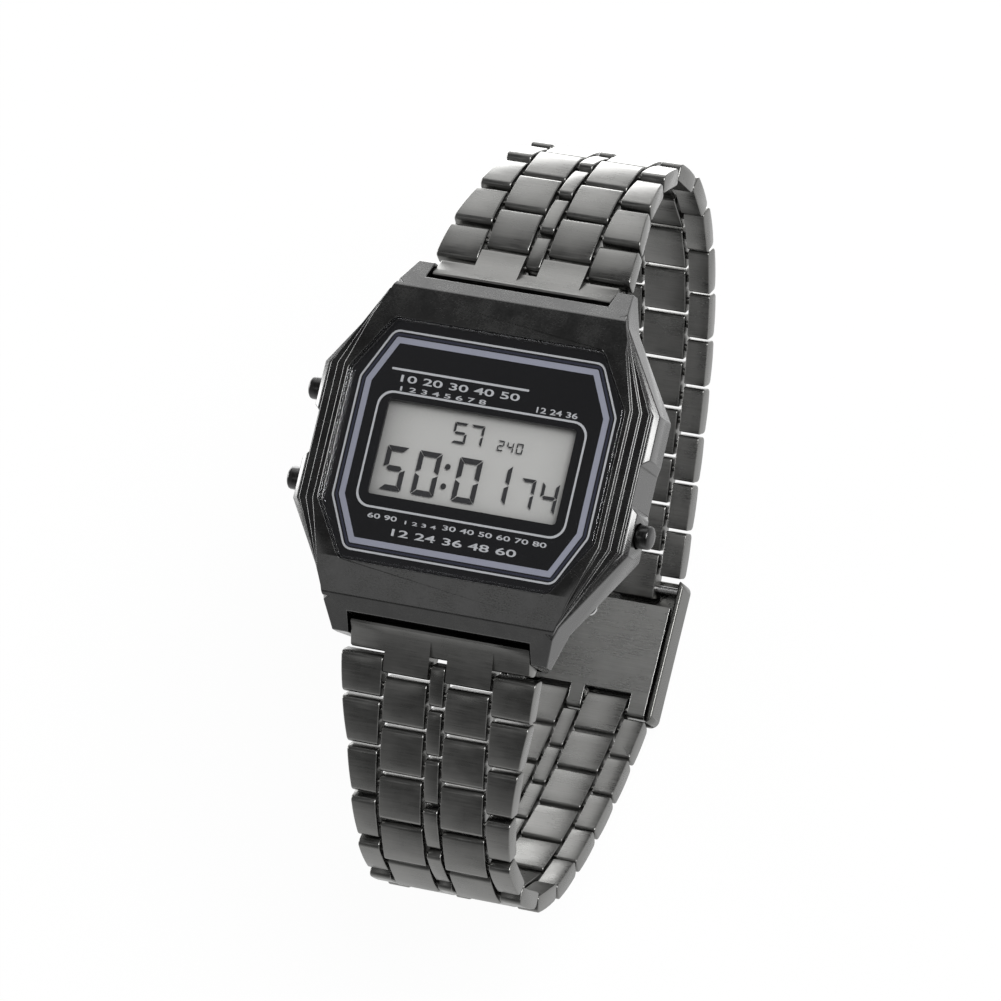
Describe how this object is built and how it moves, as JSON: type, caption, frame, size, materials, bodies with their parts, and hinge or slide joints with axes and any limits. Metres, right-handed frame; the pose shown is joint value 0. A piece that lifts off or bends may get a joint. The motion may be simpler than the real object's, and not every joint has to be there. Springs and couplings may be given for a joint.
{
  "type": "digital wristwatch",
  "caption": "Digital watch with a stepped octagonal steel case and a tapering steel link bracelet, closed in a loop by a sliding clasp.",
  "frame": {"origin": "middle of the case back's outer face", "axes": "+X to 3 o'clock, +Y to 12 o'clock, +Z out of the dial"},
  "size_m": [0.0346, 0.0686, 0.0416],
  "materials": {
    "case_steel": "dark grey coat, brushed",
    "band_steel": "dark grey coat, satin",
    "clasp_steel": "dark grey coat, satin",
    "button_steel": "satin",
    "crystal": "clear gloss",
    "panel": "black print",
    "lcd": "grey liquid crystal display",
    "reflector": "satin",
    "zebra": "matte",
    "module_plastic": "matte",
    "board": "satin",
    "chip_black": "matte",
    "can": "satin",
    "lamp_clear": "gloss",
    "cell_steel": "satin",
    "spring_steel": "satin",
    "brass": "satin",
    "back_steel": "brushed",
    "seal_rubber": "matte",
    "screw_steel": "satin",
    "pin_steel": "satin"
  },
  "bodies": {
    "case": {"case_middle": "case_steel", "crystal": "crystal", "dial_panel": "panel", "lcd_glass": "lcd", "lcd_reflector": "reflector", "zebra_strips": "zebra", "module_frame": "module_plastic", "circuit_board": "board", "chip": "chip_black", "quartz_can": "can", "lamp": "lamp_clear", "battery": "cell_steel", "battery_clip": "spring_steel", "piezo_buzzer": "brass", "case_back": "back_steel", "back_gasket": "seal_rubber", "back_screws": "screw_steel", "spring_bars": "pin_steel", "button_seals": "seal_rubber", "button_spring_light": "spring_steel", "button_spring_mode": "spring_steel", "button_spring_start": "spring_steel", "end_piece_12": "case_steel", "end_piece_6": "case_steel"},
    "link_12_01": {"link_12_01": "band_steel"},
    "link_12_02": {"link_12_02": "band_steel"},
    "link_12_03": {"link_12_03": "band_steel"},
    "link_12_04": {"link_12_04": "band_steel"},
    "link_12_05": {"link_12_05": "band_steel"},
    "link_12_06": {"link_12_06": "band_steel"},
    "link_12_07": {"link_12_07": "band_steel"},
    "link_12_08": {"link_12_08": "band_steel"},
    "link_12_09": {"link_12_09": "band_steel"},
    "link_12_10": {"link_12_10": "band_steel"},
    "link_12_11": {"link_12_11": "band_steel"},
    "link_12_12": {"link_12_12": "band_steel"},
    "link_12_13": {"link_12_13": "band_steel"},
    "link_12_14": {"link_12_14": "band_steel"},
    "clasp": {"clasp_cover": "clasp_steel", "clasp_pins": "pin_steel"},
    "link_6_01": {"link_6_01": "band_steel"},
    "link_6_02": {"link_6_02": "band_steel"},
    "link_6_03": {"link_6_03": "band_steel"},
    "link_6_04": {"link_6_04": "band_steel"},
    "link_6_05": {"link_6_05": "band_steel"},
    "link_6_06": {"link_6_06": "band_steel"},
    "link_6_07": {"link_6_07": "band_steel"},
    "link_6_08": {"link_6_08": "band_steel"},
    "link_6_09": {"link_6_09": "band_steel"},
    "link_6_10": {"link_6_10": "band_steel"},
    "link_6_11": {"link_6_11": "band_steel"},
    "link_6_12": {"link_6_12": "band_steel"},
    "leaf": {"clasp_leaf": "clasp_steel"},
    "lever": {"clasp_lever": "clasp_steel"},
    "button_light": {"button_light": "button_steel", "button_clip_light": "spring_steel"},
    "button_mode": {"button_mode": "button_steel", "button_clip_mode": "spring_steel"},
    "button_start": {"button_start": "button_steel", "button_clip_start": "spring_steel"}
  },
  "joints": [
    {"name": "hinge_12_01", "type": "hinge", "parent": "case", "child": "link_12_01", "pos_m": [0, 0.01805, 0.003], "axis": [1, 0, 0], "range_deg": [0, 8]},
    {"name": "hinge_12_02", "type": "hinge", "parent": "link_12_01", "child": "link_12_02", "pos_m": [0, 0.02228, 0.00146], "axis": [1, 0, 0], "range_deg": [0, 12]},
    {"name": "hinge_12_03", "type": "hinge", "parent": "link_12_02", "child": "link_12_03", "pos_m": [0, 0.0261, -0.00092], "axis": [1, 0, 0], "range_deg": [0, 14]},
    {"name": "hinge_12_04", "type": "hinge", "parent": "link_12_03", "child": "link_12_04", "pos_m": [0, 0.02922, -0.00416], "axis": [1, 0, 0], "range_deg": [0, 20]},
    {"name": "band_unroll", "type": "hinge", "parent": "link_12_04", "child": "link_12_05", "pos_m": [0, 0.03105, -0.00827], "axis": [1, 0, 0], "range_deg": [0, 26]},
    {"name": "hinge_12_06", "type": "hinge", "parent": "link_12_05", "child": "link_12_06", "pos_m": [0, 0.03089, -0.01277], "axis": [1, 0, 0], "range_deg": [0, 22]},
    {"name": "hinge_12_07", "type": "hinge", "parent": "link_12_06", "child": "link_12_07", "pos_m": [0, 0.02906, -0.01688], "axis": [1, 0, 0], "range_deg": [0, 17]},
    {"name": "hinge_12_08", "type": "hinge", "parent": "link_12_07", "child": "link_12_08", "pos_m": [0, 0.02611, -0.02028], "axis": [1, 0, 0], "range_deg": [0, 12]},
    {"name": "hinge_12_09", "type": "hinge", "parent": "link_12_08", "child": "link_12_09", "pos_m": [0, 0.02252, -0.02298], "axis": [1, 0, 0], "range_deg": [0, 8]},
    {"name": "hinge_12_10", "type": "hinge", "parent": "link_12_09", "child": "link_12_10", "pos_m": [0, 0.01858, -0.02517], "axis": [1, 0, 0], "range_deg": [0, 6]},
    {"name": "hinge_12_11", "type": "hinge", "parent": "link_12_10", "child": "link_12_11", "pos_m": [0, 0.01444, -0.02692], "axis": [1, 0, 0], "range_deg": [0, 4]},
    {"name": "hinge_12_12", "type": "hinge", "parent": "link_12_11", "child": "link_12_12", "pos_m": [0, 0.01018, -0.02839], "axis": [1, 0, 0], "range_deg": [0, 2]},
    {"name": "hinge_12_13", "type": "hinge", "parent": "link_12_12", "child": "link_12_13", "pos_m": [0, 0.00588, -0.0297], "axis": [1, 0, 0], "range_deg": [0, 2]},
    {"name": "hinge_12_14", "type": "hinge", "parent": "link_12_13", "child": "link_12_14", "pos_m": [0, 0.00153, -0.03087], "axis": [1, 0, 0], "range_deg": [0, 2]},
    {"name": "cover_hinge", "type": "hinge", "parent": "link_12_14", "child": "clasp", "pos_m": [0, -0.00285, -0.03188], "axis": [1, 0, 0], "range_deg": [0, 15.2]},
    {"name": "hinge_6_01", "type": "hinge", "parent": "case", "child": "link_6_01", "pos_m": [0, -0.01865, 0.003], "axis": [-1, 0, 0], "range_deg": [0, 12]},
    {"name": "hinge_6_02", "type": "hinge", "parent": "link_6_01", "child": "link_6_02", "pos_m": [0, -0.02276, 0.00117], "axis": [-1, 0, 0], "range_deg": [0, 3]},
    {"name": "hinge_6_03", "type": "hinge", "parent": "link_6_02", "child": "link_6_03", "pos_m": [0, -0.02677, -0.00087], "axis": [-1, 0, 0], "range_deg": [0, 4]},
    {"name": "hinge_6_04", "type": "hinge", "parent": "link_6_03", "child": "link_6_04", "pos_m": [0, -0.03063, -0.00319], "axis": [-1, 0, 0], "range_deg": [0, 15]},
    {"name": "hinge_6_05", "type": "hinge", "parent": "link_6_04", "child": "link_6_05", "pos_m": [0, -0.03375, -0.00643], "axis": [-1, 0, 0], "range_deg": [0, 22]},
    {"name": "hinge_6_06", "type": "hinge", "parent": "link_6_05", "child": "link_6_06", "pos_m": [0, -0.03544, -0.0106], "axis": [-1, 0, 0], "range_deg": [0, 26]},
    {"name": "hinge_6_07", "type": "hinge", "parent": "link_6_06", "child": "link_6_07", "pos_m": [0, -0.03513, -0.01509], "axis": [-1, 0, 0], "range_deg": [0, 23]},
    {"name": "hinge_6_08", "type": "hinge", "parent": "link_6_07", "child": "link_6_08", "pos_m": [0, -0.03308, -0.0191], "axis": [-1, 0, 0], "range_deg": [0, 17]},
    {"name": "hinge_6_09", "type": "hinge", "parent": "link_6_08", "child": "link_6_09", "pos_m": [0, -0.02996, -0.02234], "axis": [-1, 0, 0], "range_deg": [0, 8]},
    {"name": "hinge_6_10", "type": "hinge", "parent": "link_6_09", "child": "link_6_10", "pos_m": [0, -0.02641, -0.02511], "axis": [-1, 0, 0], "range_deg": [0, 6]},
    {"name": "hinge_6_11", "type": "hinge", "parent": "link_6_10", "child": "link_6_11", "pos_m": [0, -0.02259, -0.02749], "axis": [-1, 0, 0], "range_deg": [0, 4]},
    {"name": "hinge_6_12", "type": "hinge", "parent": "link_6_11", "child": "link_6_12", "pos_m": [0, -0.01862, -0.0296], "axis": [-1, 0, 0], "range_deg": [0, 4]},
    {"name": "leaf_hinge", "type": "hinge", "parent": "link_6_12", "child": "leaf", "pos_m": [0, -0.01451, -0.03143], "axis": [-1, 0, 0], "range_deg": [0, 21.8]},
    {"name": "lever_flip", "type": "hinge", "parent": "clasp", "child": "lever", "pos_m": [0, -0.0055, -0.03313], "axis": [1, 0, 0], "range_deg": [0, 75]},
    {"name": "press_light", "type": "slide", "parent": "case", "child": "button_light", "axis": [1, 0, 0], "range_m": [0, 0.0005], "stiffness_N_per_m": 2000, "deforming": ["button_spring_light"]},
    {"name": "press_mode", "type": "slide", "parent": "case", "child": "button_mode", "axis": [1, 0, 0], "range_m": [0, 0.0005], "stiffness_N_per_m": 2000, "deforming": ["button_spring_mode"]},
    {"name": "press_start", "type": "slide", "parent": "case", "child": "button_start", "axis": [-1, 0, 0], "range_m": [0, 0.0005], "stiffness_N_per_m": 2000, "deforming": ["button_spring_start"]}
  ],
  "couplings": [
    {"joint": "hinge_12_01", "follows": "band_unroll", "ratio": 0.30769},
    {"joint": "hinge_12_02", "follows": "band_unroll", "ratio": 0.46154},
    {"joint": "hinge_12_03", "follows": "band_unroll", "ratio": 0.53846},
    {"joint": "hinge_12_04", "follows": "band_unroll", "ratio": 0.76923},
    {"joint": "hinge_12_06", "follows": "band_unroll", "ratio": 0.84615},
    {"joint": "hinge_12_07", "follows": "band_unroll", "ratio": 0.65385},
    {"joint": "hinge_12_08", "follows": "band_unroll", "ratio": 0.46154},
    {"joint": "hinge_12_09", "follows": "band_unroll", "ratio": 0.30769},
    {"joint": "hinge_12_10", "follows": "band_unroll", "ratio": 0.23077},
    {"joint": "hinge_12_11", "follows": "band_unroll", "ratio": 0.15385},
    {"joint": "hinge_12_12", "follows": "band_unroll", "ratio": 0.076923},
    {"joint": "hinge_12_13", "follows": "band_unroll", "ratio": 0.076923},
    {"joint": "hinge_12_14", "follows": "band_unroll", "ratio": 0.076923},
    {"joint": "cover_hinge", "follows": "band_unroll", "ratio": 0.58462},
    {"joint": "hinge_6_01", "follows": "band_unroll", "ratio": 0.46154},
    {"joint": "hinge_6_02", "follows": "band_unroll", "ratio": 0.11539},
    {"joint": "hinge_6_03", "follows": "band_unroll", "ratio": 0.15385},
    {"joint": "hinge_6_04", "follows": "band_unroll", "ratio": 0.57692},
    {"joint": "hinge_6_05", "follows": "band_unroll", "ratio": 0.84615},
    {"joint": "hinge_6_06", "follows": "band_unroll", "ratio": 1},
    {"joint": "hinge_6_07", "follows": "band_unroll", "ratio": 0.88462},
    {"joint": "hinge_6_08", "follows": "band_unroll", "ratio": 0.65385},
    {"joint": "hinge_6_09", "follows": "band_unroll", "ratio": 0.30769},
    {"joint": "hinge_6_10", "follows": "band_unroll", "ratio": 0.23077},
    {"joint": "hinge_6_11", "follows": "band_unroll", "ratio": 0.15385},
    {"joint": "hinge_6_12", "follows": "band_unroll", "ratio": 0.15385},
    {"joint": "leaf_hinge", "follows": "band_unroll", "ratio": 0.83846}
  ]
}
